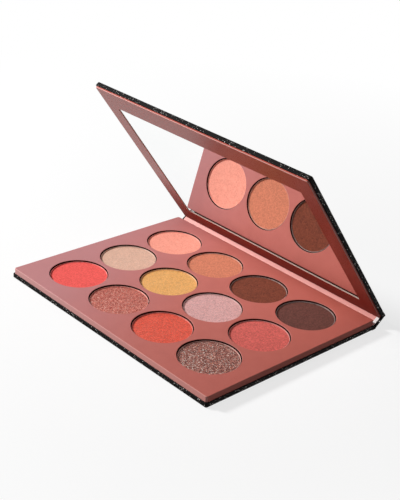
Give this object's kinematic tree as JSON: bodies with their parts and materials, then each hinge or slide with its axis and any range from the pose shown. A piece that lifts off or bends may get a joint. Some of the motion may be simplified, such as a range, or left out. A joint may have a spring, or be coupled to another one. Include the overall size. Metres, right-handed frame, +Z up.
{
  "type": "eyeshadow palette",
  "caption": "Book-style cardboard eyeshadow palette: black sparkling case with a creased spine, rose tray with round pans of pressed powder, and a mirror framed in the lid.",
  "frame": {"origin": "on the flat underside of the lower cover, below the centre of the twelve wells", "axes": "+X along the tray's long side, to the user's right; +Y from the front edge to the spine; +Z up"},
  "size_m": [0.136, 0.1128, 0.0892],
  "materials": {
    "black_paper": "black paper with a fine sparkle",
    "rose_paper": "soft matt dusty rose paper",
    "white_paper": "plain uncoated",
    "greyboard": "raw greyboard",
    "dark_board": "board dyed brown right through",
    "tinplate": "bright pressed tinplate",
    "mirror": "thin silvered sheet",
    "tape": "mounting tape",
    "magnet": "nickel plated",
    "powder_coral": "pressed shimmer powder",
    "powder_rosewood": "pressed powder with coarse glitter",
    "powder_vermilion": "pressed shimmer powder",
    "powder_taupe": "pressed powder with coarse glitter",
    "powder_beige": "pressed matt powder",
    "powder_gold": "pressed shimmer powder",
    "powder_lilac": "pressed shimmer powder",
    "powder_brick": "pressed shimmer powder",
    "powder_peach": "pressed matt powder",
    "powder_tan": "pressed shimmer powder",
    "powder_brown": "pressed matt powder",
    "powder_espresso": "pressed matt powder"
  },
  "bodies": {
    "base": {"base_wrap": "black_paper", "base_board": "greyboard", "base_infill": "white_paper", "base_lining": "rose_paper", "tray_floor": "greyboard", "tray_board": "dark_board", "tray_wrap": "rose_paper", "tray_magnets": "magnet", "pan_coral": "tinplate", "pan_rosewood": "tinplate", "pan_vermilion": "tinplate", "pan_taupe": "tinplate", "pan_beige": "tinplate", "pan_gold": "tinplate", "pan_lilac": "tinplate", "pan_brick": "tinplate", "pan_peach": "tinplate", "pan_tan": "tinplate", "pan_brown": "tinplate", "pan_espresso": "tinplate", "powder_coral": "powder_coral", "powder_rosewood": "powder_rosewood", "powder_vermilion": "powder_vermilion", "powder_taupe": "powder_taupe", "powder_beige": "powder_beige", "powder_gold": "powder_gold", "powder_lilac": "powder_lilac", "powder_brick": "powder_brick", "powder_peach": "powder_peach", "powder_tan": "powder_tan", "powder_brown": "powder_brown", "powder_espresso": "powder_espresso"},
    "spine": {"spine_wrap": "black_paper", "spine_board": "greyboard", "spine_lining": "rose_paper"},
    "lid": {"lid_wrap": "black_paper", "lid_board": "greyboard", "lid_infill": "white_paper", "lid_lining": "rose_paper", "mirror_spacer": "greyboard", "mirror_tape": "tape", "mirror_sheet": "mirror", "frame_card": "greyboard", "frame_wrap": "rose_paper", "lid_magnets": "magnet"}
  },
  "joints": [
    {"name": "spine_fold", "type": "hinge", "parent": "base", "child": "spine", "pos_m": [0, 0.054, 0], "axis": [-1, 0, 0], "range_deg": [-52, 38]},
    {"name": "lid_fold", "type": "hinge", "parent": "spine", "child": "lid", "pos_m": [0, 0.06038, 0.00499], "axis": [-1, 0, 0], "range_deg": [-0.3, 89.7]}
  ]
}
